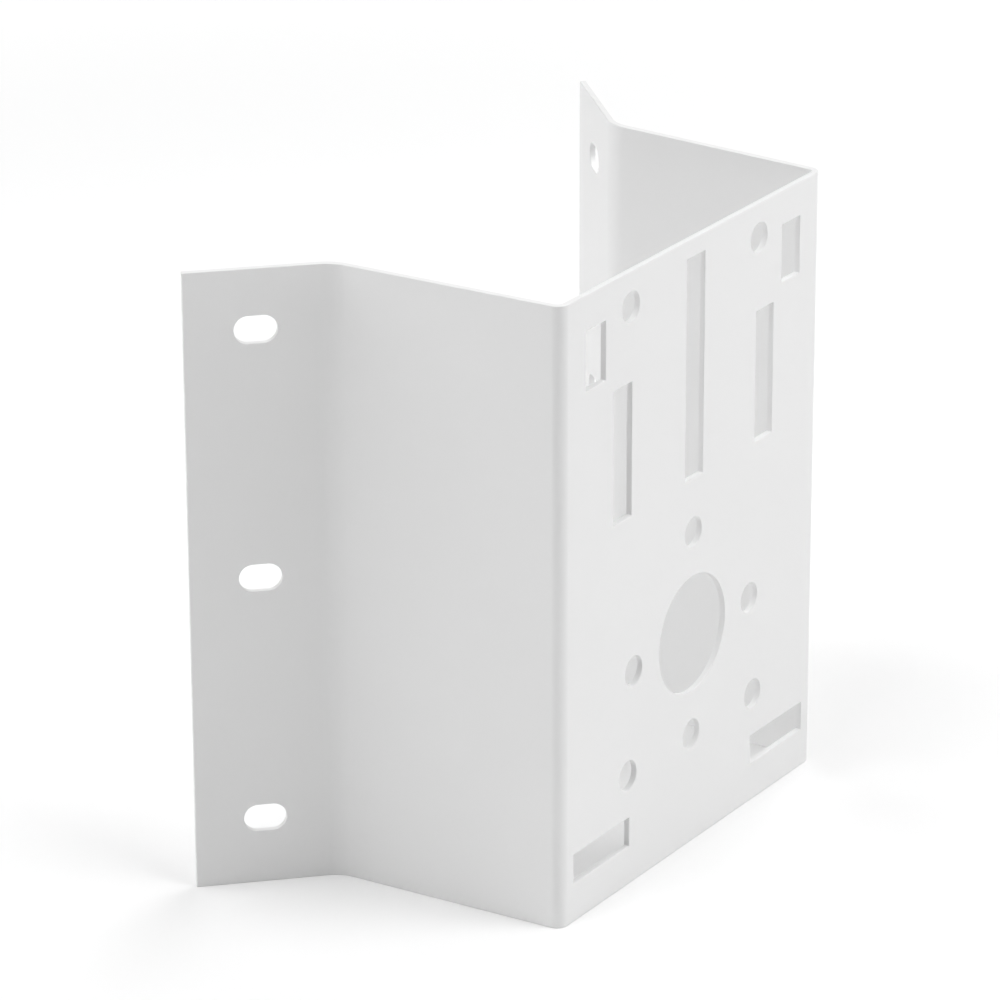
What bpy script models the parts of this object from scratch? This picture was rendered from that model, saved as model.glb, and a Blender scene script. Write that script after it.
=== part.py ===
"""Corner mounting bracket for a camera: one steel sheet, punched flat, then folded along four upright lines.

The sheet is a wide front plate, two side walls behind it and two flanges that
spread at 45 degrees, so that their wall-side faces stand square to each other
and lie on the two walls of an outside building corner.

Metres, +Z up. The front plate faces -Y and the building is on the +Y side.
The origin is on the ground under the middle of the bracket's bounding box.
"""

import math

import bmesh
import bpy
from mathutils import Vector

MM = 0.001

# Sheet
HEIGHT = 250.0 * MM
THICKNESS = 2.5 * MM
EDGE_SOFTENING = 0.3 * MM  # what the coat leaves of each cut edge

# Plan, measured on the visible side and between the sharp fold lines
FRONT_WIDTH = 186.0 * MM
WALL_LENGTH = 97.5 * MM
FLANGE_LENGTH = 56.3 * MM
WALL_SPLAY = math.radians(3.0)  # the side walls spread this much from straight back
FLANGE_ANGLE = math.radians(45.0)  # flanges, from straight back
FRONT_BEND_RADIUS = 5.0 * MM  # outside of the front fold
VALLEY_BEND_RADIUS = 14.0 * MM  # visible, hollow side of the flange fold
FRONT_BEND_STEPS = 12
VALLEY_BEND_STEPS = 10

# Punched in the front plate: (x of the centre, z of the centre)
BOLT_HOLE_DIAMETER = 12.0 * MM
TOP_HOLES = (45.9 * MM, 236.0 * MM)  # a pair, left and right
SIDE_HOLES = (42.3 * MM, 88.3 * MM)  # a pair
LOW_HOLES = (45.9 * MM, 46.0 * MM)  # a pair
UPPER_MIDDLE_HOLE = (0.0, 130.6 * MM)
LOWER_MIDDLE_HOLE = (0.0, 46.0 * MM)
CABLE_HOLE = (0.0, 88.3 * MM)
CABLE_HOLE_DIAMETER = 48.0 * MM
BOLT_HOLE_SIDES = 40
CABLE_HOLE_SIDES = 80

# Rectangles in the front plate: (x from, x to, z from, z to); all but the first are pairs
MIDDLE_SLOT = (-6.4 * MM, 6.4 * MM, 153.0 * MM, 242.6 * MM)
SIDE_SLOT = (44.7 * MM, 57.4 * MM, 152.8 * MM, 206.3 * MM)
TOP_WINDOW = (63.2 * MM, 76.5 * MM, 212.6 * MM, 236.0 * MM)
BOTTOM_SLOT = (44.8 * MM, 84.3 * MM, 16.0 * MM, 28.0 * MM)

# Round-ended slots in each flange, lying along it
FLANGE_SLOT_LENGTH = 16.5 * MM
FLANGE_SLOT_HEIGHT = 10.8 * MM
FLANGE_SLOT_CENTRE = 29.1 * MM  # from the fold line
FLANGE_SLOT_HEIGHTS = (27.0 * MM, 126.5 * MM, 226.0 * MM)
SLOT_END_STEPS = 14

PUNCH = 8.0 * MM  # how far each cutter stands out of the sheet


def along(angle):
    """Plan direction of a part of the right half that leads back at this angle from +Y."""
    return Vector((math.sin(angle), math.cos(angle)))


def outward(angle):
    """Plan normal of that part, on its visible side."""
    return Vector((math.cos(angle), -math.sin(angle)))


def fold_points():
    """The sharp fold lines of the right half in plan: front fold, flange fold."""
    front = Vector((FRONT_WIDTH / 2, 0.0))
    return front, front + along(WALL_SPLAY) * WALL_LENGTH


def right_path(depth):
    """Plan points of the right half at this depth under the visible face, from the front plate to the free edge."""
    front, valley = fold_points()
    front_turn = math.pi / 2 - WALL_SPLAY
    valley_turn = FLANGE_ANGLE - WALL_SPLAY
    back_off = FRONT_BEND_RADIUS * math.tan(front_turn / 2)
    centre = Vector((front.x - back_off, FRONT_BEND_RADIUS))
    points = []
    for i in range(FRONT_BEND_STEPS + 1):
        angle = math.pi / 2 - front_turn * i / FRONT_BEND_STEPS
        points.append(centre + outward(angle) * (FRONT_BEND_RADIUS - depth))
    before = VALLEY_BEND_RADIUS * math.tan(valley_turn / 2)
    centre = (
        valley
        - along(WALL_SPLAY) * before
        + outward(WALL_SPLAY) * VALLEY_BEND_RADIUS
    )
    for i in range(VALLEY_BEND_STEPS + 1):
        angle = WALL_SPLAY + valley_turn * i / VALLEY_BEND_STEPS
        points.append(centre - outward(angle) * (VALLEY_BEND_RADIUS + depth))
    points.append(
        valley
        + along(FLANGE_ANGLE) * FLANGE_LENGTH
        - outward(FLANGE_ANGLE) * depth
    )
    return points


def whole_path(depth):
    """The same from the left free edge round to the right one."""
    right = right_path(depth)
    left = [Vector((-p.x, p.y)) for p in reversed(right)]
    return left + right


def plan_shift():
    """How far forward the plan moves, to put the middle of its depth over the origin."""
    deepest = max(p.y for d in (0.0, THICKNESS) for p in right_path(d))
    return -deepest / 2


SHIFT = plan_shift()


def new_object(name, bm):
    bmesh.ops.recalc_face_normals(bm, faces=bm.faces)
    mesh = bpy.data.meshes.new(name)
    bm.to_mesh(mesh)
    bm.free()
    obj = bpy.data.objects.new(name, mesh)
    bpy.context.scene.collection.objects.link(obj)
    return obj


def folded_sheet(name):
    """The folded sheet without its holes: one closed strip of quads between the two faces."""
    bm = bmesh.new()
    rows = []
    for shown, hidden in zip(whole_path(0.0), whole_path(THICKNESS)):
        rows.append(
            [
                bm.verts.new((p.x, p.y + SHIFT, z))
                for p, z in (
                    (shown, 0.0),
                    (shown, HEIGHT),
                    (hidden, HEIGHT),
                    (hidden, 0.0),
                )
            ]
        )
    for a, b in zip(rows, rows[1:]):
        for i in range(4):
            j = (i + 1) % 4
            bm.faces.new((a[i], b[i], b[j], a[j]))
    bm.faces.new(rows[0])
    bm.faces.new(rows[-1])
    return new_object(name, bm)


def prism(bm, outline, origin, across, through, reach):
    """A closed punch. The outline is (along across, along Z) from origin, and it runs reach both ways along through."""
    rings = []
    for side in (-reach, reach):
        rings.append(
            [
                bm.verts.new(origin + across * u + Vector((0, 0, w)) + through * side)
                for u, w in outline
            ]
        )
    n = len(outline)
    for i in range(n):
        j = (i + 1) % n
        bm.faces.new((rings[0][i], rings[0][j], rings[1][j], rings[1][i]))
    bm.faces.new(rings[0])
    bm.faces.new(rings[1])


def circle(radius, sides):
    return [
        (
            radius * math.cos(2 * math.pi * i / sides),
            radius * math.sin(2 * math.pi * i / sides),
        )
        for i in range(sides)
    ]


def rectangle(x0, x1, z0, z1):
    return [(x0, z0), (x1, z0), (x1, z1), (x0, z1)]


def round_ended(length, height, steps):
    """A slot of this whole length and height, its ends half circles."""
    r = height / 2
    straight = length / 2 - r
    points = []
    for side in (1, -1):
        for i in range(steps + 1):
            a = -math.pi / 2 + math.pi * i / steps
            points.append((side * (straight + r * math.cos(a)), side * r * math.sin(a)))
    return points


def front_punches(name):
    bm = bmesh.new()
    across, through = Vector((1, 0, 0)), Vector((0, 1, 0))
    middle = SHIFT + THICKNESS / 2
    reach = THICKNESS / 2 + PUNCH
    bolt = circle(BOLT_HOLE_DIAMETER / 2, BOLT_HOLE_SIDES)
    for x, z in (TOP_HOLES, SIDE_HOLES, LOW_HOLES):
        for side in (-1, 1):
            prism(bm, bolt, Vector((side * x, middle, z)), across, through, reach)
    for x, z in (UPPER_MIDDLE_HOLE, LOWER_MIDDLE_HOLE):
        prism(bm, bolt, Vector((x, middle, z)), across, through, reach)
    cable = circle(CABLE_HOLE_DIAMETER / 2, CABLE_HOLE_SIDES)
    prism(
        bm,
        cable,
        Vector((CABLE_HOLE[0], middle, CABLE_HOLE[1])),
        across,
        through,
        reach,
    )
    start = Vector((0, middle, 0))
    prism(bm, rectangle(*MIDDLE_SLOT), start, across, through, reach)
    for x0, x1, z0, z1 in (SIDE_SLOT, TOP_WINDOW, BOTTOM_SLOT):
        prism(bm, rectangle(x0, x1, z0, z1), start, across, through, reach)
        prism(bm, rectangle(-x1, -x0, z0, z1), start, across, through, reach)
    return new_object(name, bm)


def flange_punches(name):
    bm = bmesh.new()
    outline = round_ended(FLANGE_SLOT_LENGTH, FLANGE_SLOT_HEIGHT, SLOT_END_STEPS)
    _, valley = fold_points()
    lies = along(FLANGE_ANGLE)
    normal = outward(FLANGE_ANGLE)
    middle = valley + lies * FLANGE_SLOT_CENTRE - normal * (THICKNESS / 2)
    for side in (-1, 1):
        across = Vector((side * lies.x, lies.y, 0))
        through = Vector((side * normal.x, normal.y, 0))
        for z in FLANGE_SLOT_HEIGHTS:
            origin = Vector((side * middle.x, middle.y + SHIFT, z))
            prism(bm, outline, origin, across, through, THICKNESS / 2 + PUNCH)
    return new_object(name, bm)


def punch_with(obj, cutter):
    cutter.hide_render = True
    cutter.display_type = "WIRE"
    cut = obj.modifiers.new("punch_" + cutter.name, "BOOLEAN")
    cut.operation = "DIFFERENCE"
    cut.solver = "EXACT"
    cut.object = cutter


def soften_edges(obj):
    soft = obj.modifiers.new("soft_edges", "BEVEL")
    soft.width = EDGE_SOFTENING
    soft.segments = 1
    soft.limit_method = "ANGLE"
    soft.angle_limit = math.radians(40)
    soft.use_clamp_overlap = True


def white_coat():
    material = bpy.data.materials.new("white_coat")
    material.use_nodes = True
    shader = material.node_tree.nodes["Principled BSDF"]
    shader.inputs["Base Color"].default_value = (0.83, 0.83, 0.83, 1.0)
    shader.inputs["Roughness"].default_value = 0.42
    shader.inputs["Metallic"].default_value = 0.0
    return material


def main():
    for obj in list(bpy.data.objects):
        bpy.data.objects.remove(obj, do_unlink=True)
    sheet = folded_sheet("corner_bracket")
    sheet.data.materials.append(white_coat())
    punch_with(sheet, front_punches("front_punches"))
    punch_with(sheet, flange_punches("flange_punches"))
    soften_edges(sheet)
    sheet.data.shade_smooth()
    sheet.data.set_sharp_from_angle(angle=math.radians(30))


main()
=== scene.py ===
import math

import bmesh
import bpy
from mathutils import Matrix, Vector


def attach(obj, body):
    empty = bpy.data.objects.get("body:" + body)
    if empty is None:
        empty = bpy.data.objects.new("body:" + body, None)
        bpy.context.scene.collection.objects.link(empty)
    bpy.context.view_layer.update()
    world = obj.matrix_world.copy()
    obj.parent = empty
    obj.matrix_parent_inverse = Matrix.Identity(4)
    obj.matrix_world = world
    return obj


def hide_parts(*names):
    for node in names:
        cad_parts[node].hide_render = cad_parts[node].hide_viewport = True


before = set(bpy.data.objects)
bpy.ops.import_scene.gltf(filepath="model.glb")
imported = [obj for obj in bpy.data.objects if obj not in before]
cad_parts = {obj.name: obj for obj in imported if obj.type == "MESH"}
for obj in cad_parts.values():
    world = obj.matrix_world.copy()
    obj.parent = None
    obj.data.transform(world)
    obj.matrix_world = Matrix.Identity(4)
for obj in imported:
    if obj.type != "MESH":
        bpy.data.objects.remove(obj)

# The corner bracket's looks: the same folded and punched sheet as the CAD node,
# with finer folds, rounder cut edges and a white powder coat, on a pale floor.

MM = 0.001

HEIGHT = 250.0 * MM
THICKNESS = 2.5 * MM
EDGE_RADIUS = 0.39 * MM

FRONT_WIDTH = 186.0 * MM
WALL_LENGTH = 97.5 * MM
FLANGE_LENGTH = 56.3 * MM
WALL_SPLAY = math.radians(3.0)
FLANGE_ANGLE = math.radians(45.0)
FRONT_BEND_RADIUS = 5.0 * MM
VALLEY_BEND_RADIUS = 14.0 * MM
FRONT_BEND_STEPS = 36
VALLEY_BEND_STEPS = 30
PLATE_LINE = 20.3 * MM  # where the flat plate's faces are parted, clear of every hole's corners

BOLT_HOLE_DIAMETER = 12.0 * MM
TOP_HOLES = (45.9 * MM, 236.0 * MM)
SIDE_HOLES = (42.3 * MM, 88.3 * MM)
LOW_HOLES = (45.9 * MM, 46.0 * MM)
UPPER_MIDDLE_HOLE = (0.0, 130.6 * MM)
LOWER_MIDDLE_HOLE = (0.0, 46.0 * MM)
CABLE_HOLE = (0.0, 88.3 * MM)
CABLE_HOLE_DIAMETER = 48.0 * MM
BOLT_HOLE_SIDES = 96
CABLE_HOLE_SIDES = 180

MIDDLE_SLOT = (-6.4 * MM, 6.4 * MM, 153.0 * MM, 242.6 * MM)
SIDE_SLOT = (44.7 * MM, 57.4 * MM, 152.8 * MM, 206.3 * MM)
TOP_WINDOW = (63.2 * MM, 76.5 * MM, 212.6 * MM, 236.0 * MM)
BOTTOM_SLOT = (44.8 * MM, 84.3 * MM, 16.0 * MM, 28.0 * MM)

FLANGE_SLOT_LENGTH = 16.5 * MM
FLANGE_SLOT_HEIGHT = 10.8 * MM
FLANGE_SLOT_CENTRE = 29.1 * MM
FLANGE_SLOT_HEIGHTS = (27.0 * MM, 126.5 * MM, 226.0 * MM)
SLOT_END_STEPS = 40

PUNCH = 8.0 * MM


def along(angle):
    return Vector((math.sin(angle), math.cos(angle)))


def outward(angle):
    return Vector((math.cos(angle), -math.sin(angle)))


def fold_points():
    front = Vector((FRONT_WIDTH / 2, 0.0))
    return front, front + along(WALL_SPLAY) * WALL_LENGTH


def right_path(depth):
    """Plan points of the right half at this depth under the visible face, from the front plate to the free edge."""
    front, valley = fold_points()
    front_turn = math.pi / 2 - WALL_SPLAY
    valley_turn = FLANGE_ANGLE - WALL_SPLAY
    back_off = FRONT_BEND_RADIUS * math.tan(front_turn / 2)
    centre = Vector((front.x - back_off, FRONT_BEND_RADIUS))
    points = []
    for i in range(FRONT_BEND_STEPS + 1):
        angle = math.pi / 2 - front_turn * i / FRONT_BEND_STEPS
        points.append(centre + outward(angle) * (FRONT_BEND_RADIUS - depth))
    before = VALLEY_BEND_RADIUS * math.tan(valley_turn / 2)
    centre = (
        valley
        - along(WALL_SPLAY) * before
        + outward(WALL_SPLAY) * VALLEY_BEND_RADIUS
    )
    for i in range(VALLEY_BEND_STEPS + 1):
        angle = WALL_SPLAY + valley_turn * i / VALLEY_BEND_STEPS
        points.append(centre - outward(angle) * (VALLEY_BEND_RADIUS + depth))
    points.append(
        valley
        + along(FLANGE_ANGLE) * FLANGE_LENGTH
        - outward(FLANGE_ANGLE) * depth
    )
    return points


def whole_path(depth):
    right = right_path(depth)
    left = [Vector((-p.x, p.y)) for p in reversed(right)]
    plate = [Vector((-PLATE_LINE, depth)), Vector((PLATE_LINE, depth))]
    return left + plate + right


SHIFT = -max(p.y for d in (0.0, THICKNESS) for p in right_path(d)) / 2


def new_object(name, bm):
    bmesh.ops.recalc_face_normals(bm, faces=bm.faces)
    mesh = bpy.data.meshes.new(name)
    bm.to_mesh(mesh)
    bm.free()
    obj = bpy.data.objects.new(name, mesh)
    bpy.context.scene.collection.objects.link(obj)
    return obj


def folded_sheet(name):
    bm = bmesh.new()
    rows = []
    for shown, hidden in zip(whole_path(0.0), whole_path(THICKNESS)):
        rows.append(
            [
                bm.verts.new((p.x, p.y + SHIFT, z))
                for p, z in (
                    (shown, 0.0),
                    (shown, HEIGHT),
                    (hidden, HEIGHT),
                    (hidden, 0.0),
                )
            ]
        )
    for a, b in zip(rows, rows[1:]):
        for i in range(4):
            j = (i + 1) % 4
            bm.faces.new((a[i], b[i], b[j], a[j]))
    bm.faces.new(rows[0])
    bm.faces.new(rows[-1])
    return new_object(name, bm)


def prism(bm, outline, origin, across, through, reach):
    rings = []
    for side in (-reach, reach):
        rings.append(
            [
                bm.verts.new(origin + across * u + Vector((0, 0, w)) + through * side)
                for u, w in outline
            ]
        )
    n = len(outline)
    for i in range(n):
        j = (i + 1) % n
        bm.faces.new((rings[0][i], rings[0][j], rings[1][j], rings[1][i]))
    bm.faces.new(rings[0])
    bm.faces.new(rings[1])


def circle(radius, sides):
    return [
        (
            radius * math.cos(2 * math.pi * i / sides),
            radius * math.sin(2 * math.pi * i / sides),
        )
        for i in range(sides)
    ]


def rectangle(x0, x1, z0, z1):
    return [(x0, z0), (x1, z0), (x1, z1), (x0, z1)]


def round_ended(length, height, steps):
    r = height / 2
    straight = length / 2 - r
    points = []
    for side in (1, -1):
        for i in range(steps + 1):
            a = -math.pi / 2 + math.pi * i / steps
            points.append((side * (straight + r * math.cos(a)), side * r * math.sin(a)))
    return points


def front_punches(name):
    bm = bmesh.new()
    across, through = Vector((1, 0, 0)), Vector((0, 1, 0))
    middle = SHIFT + THICKNESS / 2
    reach = THICKNESS / 2 + PUNCH
    bolt = circle(BOLT_HOLE_DIAMETER / 2, BOLT_HOLE_SIDES)
    for x, z in (TOP_HOLES, SIDE_HOLES, LOW_HOLES):
        for side in (-1, 1):
            prism(bm, bolt, Vector((side * x, middle, z)), across, through, reach)
    for x, z in (UPPER_MIDDLE_HOLE, LOWER_MIDDLE_HOLE):
        prism(bm, bolt, Vector((x, middle, z)), across, through, reach)
    cable = circle(CABLE_HOLE_DIAMETER / 2, CABLE_HOLE_SIDES)
    where = Vector((CABLE_HOLE[0], middle, CABLE_HOLE[1]))
    prism(bm, cable, where, across, through, reach)
    start = Vector((0, middle, 0))
    prism(bm, rectangle(*MIDDLE_SLOT), start, across, through, reach)
    for x0, x1, z0, z1 in (SIDE_SLOT, TOP_WINDOW, BOTTOM_SLOT):
        prism(bm, rectangle(x0, x1, z0, z1), start, across, through, reach)
        prism(bm, rectangle(-x1, -x0, z0, z1), start, across, through, reach)
    return new_object(name, bm)


def flange_punches(name):
    bm = bmesh.new()
    outline = round_ended(FLANGE_SLOT_LENGTH, FLANGE_SLOT_HEIGHT, SLOT_END_STEPS)
    _, valley = fold_points()
    lies = along(FLANGE_ANGLE)
    normal = outward(FLANGE_ANGLE)
    middle = valley + lies * FLANGE_SLOT_CENTRE - normal * (THICKNESS / 2)
    for side in (-1, 1):
        across = Vector((side * lies.x, lies.y, 0))
        through = Vector((side * normal.x, normal.y, 0))
        for z in FLANGE_SLOT_HEIGHTS:
            origin = Vector((side * middle.x, middle.y + SHIFT, z))
            prism(bm, outline, origin, across, through, THICKNESS / 2 + PUNCH)
    return new_object(name, bm)


def finished_sheet(name):
    """The folded sheet with its holes cut and its edges rounded, as one plain mesh."""
    sheet = folded_sheet(name + "_blank")
    cutters = [front_punches("punch_front"), flange_punches("punch_flange")]
    for cutter in cutters:
        cut = sheet.modifiers.new(cutter.name, "BOOLEAN")
        cut.operation = "DIFFERENCE"
        cut.solver = "EXACT"
        cut.object = cutter
    soft = sheet.modifiers.new("edges", "BEVEL")
    soft.width = EDGE_RADIUS
    soft.segments = 5
    soft.limit_method = "ANGLE"
    soft.angle_limit = math.radians(40)
    soft.use_clamp_overlap = True
    soft.harden_normals = False
    graph = bpy.context.evaluated_depsgraph_get()
    mesh = bpy.data.meshes.new_from_object(
        sheet.evaluated_get(graph), depsgraph=graph
    )
    mesh.name = name
    for helper in [sheet, *cutters]:
        bpy.data.objects.remove(helper, do_unlink=True)
    obj = bpy.data.objects.new(name, mesh)
    bpy.context.scene.collection.objects.link(obj)
    mesh.shade_smooth()
    even = obj.modifiers.new("face_normals", "WEIGHTED_NORMAL")
    even.mode = "FACE_AREA"
    even.weight = 100
    even.keep_sharp = True
    return obj


def node(tree, kind, x, y, **values):
    made = tree.nodes.new(kind)
    made.location = (x, y)
    for key, value in values.items():
        setattr(made, key, value)
    return made


def powder_coat():
    """White powder coat: nearly even, with a fine orange peel, faint shade drift and a slightly uneven sheen."""
    material = bpy.data.materials.new("white_powder_coat")
    material.use_nodes = True
    tree = material.node_tree
    link = tree.links.new
    shader = tree.nodes["Principled BSDF"]
    where = node(tree, "ShaderNodeTexCoord", -1300, 0)

    drift = node(tree, "ShaderNodeTexNoise", -1050, 300)
    drift.inputs["Scale"].default_value = 14.0
    drift.inputs["Detail"].default_value = 3.0
    drift.inputs["Roughness"].default_value = 0.55
    link(where.outputs["Object"], drift.inputs["Vector"])
    grain = node(tree, "ShaderNodeTexNoise", -1050, 60)
    grain.inputs["Scale"].default_value = 1700.0
    grain.inputs["Detail"].default_value = 2.0
    link(where.outputs["Object"], grain.inputs["Vector"])
    both = node(tree, "ShaderNodeMath", -850, 200, operation="MULTIPLY_ADD")
    both.inputs[1].default_value = 0.3
    link(grain.outputs["Fac"], both.inputs[0])
    link(drift.outputs["Fac"], both.inputs[2])
    tone = node(tree, "ShaderNodeMapRange", -650, 200)
    tone.inputs["From Min"].default_value = 0.4
    tone.inputs["From Max"].default_value = 0.9
    link(both.outputs[0], tone.inputs["Value"])
    colour = node(tree, "ShaderNodeMix", -420, 220, data_type="RGBA")
    colour.inputs["A"].default_value = (0.822, 0.822, 0.822, 1.0)
    colour.inputs["B"].default_value = (0.84, 0.84, 0.84, 1.0)
    link(tone.outputs["Result"], colour.inputs["Factor"])
    link(colour.outputs["Result"], shader.inputs["Base Color"])

    sheen = node(tree, "ShaderNodeMapRange", -650, -60)
    sheen.inputs["To Min"].default_value = 0.38
    sheen.inputs["To Max"].default_value = 0.46
    link(drift.outputs["Fac"], sheen.inputs["Value"])
    link(sheen.outputs["Result"], shader.inputs["Roughness"])

    peel = node(tree, "ShaderNodeTexNoise", -1050, -300)
    peel.inputs["Scale"].default_value = 620.0
    peel.inputs["Detail"].default_value = 2.5
    peel.inputs["Roughness"].default_value = 0.5
    link(where.outputs["Object"], peel.inputs["Vector"])
    bump = node(tree, "ShaderNodeBump", -420, -300)
    bump.inputs["Strength"].default_value = 0.25
    bump.inputs["Distance"].default_value = 0.00006
    link(peel.outputs["Fac"], bump.inputs["Height"])
    link(bump.outputs["Normal"], shader.inputs["Normal"])

    shader.inputs["Metallic"].default_value = 0.0
    shader.inputs["IOR"].default_value = 1.5
    return material


FLOOR_GLOW = 0.036


def floor_paint():
    """Matt pale floor paper. Seen by the camera, it fades to plain white away from the bracket, and it carries a
    painted shade inside the right wall's foot.
    """
    material = bpy.data.materials.new("pale_floor")
    material.use_nodes = True
    tree = material.node_tree
    link = tree.links.new
    shader = tree.nodes["Principled BSDF"]
    shader.inputs["Base Color"].default_value = (0.93, 0.93, 0.93, 1.0)
    shader.inputs["Roughness"].default_value = 0.9
    shader.inputs["Specular IOR Level"].default_value = 0.0
    shader.inputs["Emission Color"].default_value = (1.0, 1.0, 1.0, 1.0)
    where = node(tree, "ShaderNodeTexCoord", -1100, -200)
    away = node(tree, "ShaderNodeVectorMath", -900, -200, operation="LENGTH")
    link(where.outputs["Object"], away.inputs[0])
    fade = node(tree, "ShaderNodeMapRange", -700, -200, interpolation_type="SMOOTHSTEP")
    fade.inputs["From Min"].default_value = 0.8
    fade.inputs["From Max"].default_value = 2.4
    fade.inputs["To Min"].default_value = FLOOR_GLOW
    fade.inputs["To Max"].default_value = 1.0
    link(away.outputs["Value"], fade.inputs["Value"])
    path = node(tree, "ShaderNodeLightPath", -700, 120)
    glow = node(tree, "ShaderNodeMix", -420, -100, data_type="FLOAT")
    glow.inputs["A"].default_value = FLOOR_GLOW
    link(path.outputs["Is Camera Ray"], glow.inputs["Factor"])
    link(fade.outputs["Result"], glow.inputs["B"])

    # Painted shade on the floor along the inside of the right wall's foot, seen by the camera only: there the
    # floor's colour is darkened and its faint glow is taken away.
    spot = node(tree, "ShaderNodeSeparateXYZ", -1100, -600)
    link(where.outputs["Object"], spot.inputs["Vector"])
    across = node(tree, "ShaderNodeMapRange", -900, -450, interpolation_type="SMOOTHSTEP")
    across.inputs["From Min"].default_value = 20.0 * MM
    across.inputs["From Max"].default_value = 70.0 * MM
    link(spot.outputs["X"], across.inputs["Value"])
    back = node(tree, "ShaderNodeMapRange", -900, -750, interpolation_type="SMOOTHSTEP")
    back.inputs["From Min"].default_value = -2.0 * MM
    back.inputs["From Max"].default_value = 27.0 * MM
    back.inputs["To Min"].default_value = 1.0
    back.inputs["To Max"].default_value = 0.0
    link(spot.outputs["Y"], back.inputs["Value"])
    foot = node(tree, "ShaderNodeMath", -900, -1050, operation="MULTIPLY_ADD")
    foot.inputs[1].default_value = math.tan(WALL_SPLAY)
    foot.inputs[2].default_value = (
        FRONT_WIDTH / 2 - THICKNESS / 2 - SHIFT * math.tan(WALL_SPLAY)
    )
    link(spot.outputs["Y"], foot.inputs[0])
    inside = node(tree, "ShaderNodeMath", -700, -900, operation="LESS_THAN")
    link(spot.outputs["X"], inside.inputs[0])
    link(foot.outputs[0], inside.inputs[1])
    behind = node(tree, "ShaderNodeMath", -700, -1100, operation="GREATER_THAN")
    behind.inputs[1].default_value = SHIFT + THICKNESS / 2
    link(spot.outputs["Y"], behind.inputs[0])
    shade = path.outputs["Is Camera Ray"]
    for part in (across.outputs["Result"], back.outputs["Result"], inside.outputs[0], behind.outputs[0]):
        product = node(tree, "ShaderNodeMath", -500, -700, operation="MULTIPLY")
        link(shade, product.inputs[0])
        link(part, product.inputs[1])
        shade = product.outputs[0]
    # Painted shade: inside this mask the floor's colour turns darker.
    painted_shade_colour = node(tree, "ShaderNodeMix", -250, 100, data_type="RGBA")
    painted_shade_colour.inputs["A"].default_value = (0.93, 0.93, 0.93, 1.0)
    painted_shade_colour.inputs["B"].default_value = (0.842, 0.842, 0.842, 1.0)
    link(shade, painted_shade_colour.inputs["Factor"])
    link(painted_shade_colour.outputs["Result"], shader.inputs["Base Color"])
    # Painted shade: inside the same mask the floor's faint glow is switched off.
    painted_shade_glow_cut = node(tree, "ShaderNodeMix", -250, -150, data_type="FLOAT")
    painted_shade_glow_cut.inputs["B"].default_value = 0.0
    link(shade, painted_shade_glow_cut.inputs["Factor"])
    link(glow.outputs["Result"], painted_shade_glow_cut.inputs["A"])
    link(painted_shade_glow_cut.outputs["Result"], shader.inputs["Emission Strength"])
    return material


def make_floor():
    bm = bmesh.new()
    bmesh.ops.create_grid(bm, x_segments=1, y_segments=1, size=9.0)
    obj = new_object("floor", bm)
    obj.location = (0.0, 0.0, 0.0)
    obj.data.materials.append(floor_paint())
    return obj


def aim(obj, target):
    obj.rotation_euler = (Vector(target) - obj.location).to_track_quat("-Z", "Y").to_euler()


def softbox(name, place, target, width, height, power):
    data = bpy.data.lights.new(name, "AREA")
    data.shape = "RECTANGLE"
    data.size = width
    data.size_y = height
    data.energy = power
    obj = bpy.data.objects.new(name, data)
    bpy.context.scene.collection.objects.link(obj)
    obj.location = place
    aim(obj, target)
    return obj


# The studio's soft boxes: place, width, height, watts. All look at the middle of the bracket.
SOFT_BOXES = {
    "front_right_box": ((1.5, -2.3, 1.2), 1.6, 1.6, 25.0),
    "front_box": ((0.2, -2.8, 1.3), 1.6, 1.6, 1.8),
    "right_box": ((2.8, -0.6, 1.2), 1.6, 1.6, 4.2),
    "back_left_box": ((-1.6, 2.3, 1.4), 1.6, 1.6, 29.1),
    "left_box": ((-2.8, 0.6, 1.2), 1.6, 1.6, 6.3),
    "top_front_box": ((0.2, -1.4, 2.5), 1.4, 1.4, 29.9),
    "top_back_box": ((0.0, 1.5, 2.5), 1.4, 1.4, 14.6),
    "top_left_box": ((-1.4, 0.3, 2.5), 1.4, 1.4, 21.2),
    "top_right_box": ((1.5, -0.1, 2.5), 1.4, 1.4, 23.9),
}


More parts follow.
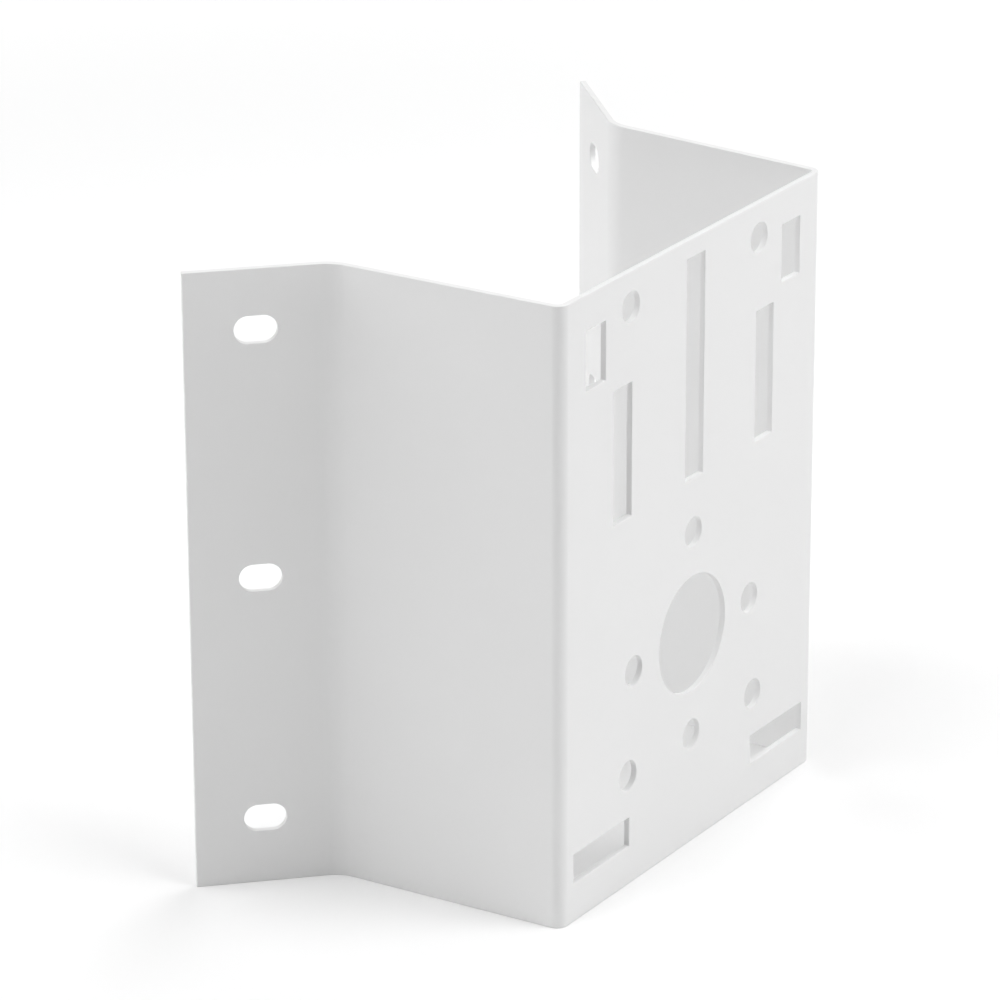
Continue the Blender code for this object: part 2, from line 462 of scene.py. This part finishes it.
def studio():
    world = bpy.data.worlds.new("studio")
    bpy.context.scene.world = world
    world.use_nodes = True
    tree = world.node_tree
    sky = tree.nodes["Background"]
    sky.inputs["Color"].default_value = (1.0, 1.0, 1.0, 1.0)
    path = node(tree, "ShaderNodeLightPath", -300, 0)
    tree.links.new(path.outputs["Is Camera Ray"], sky.inputs["Strength"])
    for name, (place, width, height, power) in SOFT_BOXES.items():
        softbox(name, place, (0.0, 0.0, 0.12), width, height, power)


CAMERA_FOCAL = 5591.642  # pixels, on a picture 1000 wide
CAMERA_AZIMUTH = math.radians(56.5829)
CAMERA_ELEVATION = math.radians(22.0432)
CAMERA_ROLL = math.radians(0.1603)
CAMERA_PLACE = (-1687.0899 * MM, -1024.7800 * MM, 942.6667 * MM)  # from the front plate


def photo_camera():
    forward = Vector(
        (
            math.sin(CAMERA_AZIMUTH) * math.cos(CAMERA_ELEVATION),
            math.cos(CAMERA_AZIMUTH) * math.cos(CAMERA_ELEVATION),
            -math.sin(CAMERA_ELEVATION),
        )
    )
    right = forward.cross(Vector((0, 0, 1))).normalized()
    down = forward.cross(right)
    c, s = math.cos(CAMERA_ROLL), math.sin(CAMERA_ROLL)
    rolled_right = right * c + down * s
    rolled_down = down * c - right * s
    data = bpy.data.cameras.new("photo_camera")
    data.sensor_fit = "HORIZONTAL"
    data.sensor_width = 36.0
    data.lens = 36.0 * CAMERA_FOCAL / 1000.0
    data.clip_start = 0.05
    data.clip_end = 50.0
    obj = bpy.data.objects.new("photo_camera", data)
    bpy.context.scene.collection.objects.link(obj)
    turn = Matrix((rolled_right, -rolled_down, -forward)).transposed().to_4x4()
    place = Vector(CAMERA_PLACE) + Vector((0, SHIFT, 0))
    obj.matrix_world = Matrix.Translation(place) @ turn
    bpy.context.scene.camera = obj


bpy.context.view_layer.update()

bracket = finished_sheet("corner_bracket_coated")
bracket.data.materials.clear()
bracket.data.materials.append(powder_coat())
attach(bracket, "root")
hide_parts("corner_bracket")

make_floor()
studio()
photo_camera()

settings = bpy.context.scene.view_settings
settings.view_transform = "Standard"
settings.look = "None"
settings.exposure = 0.0
settings.gamma = 1.0

bpy.context.view_layer.update()
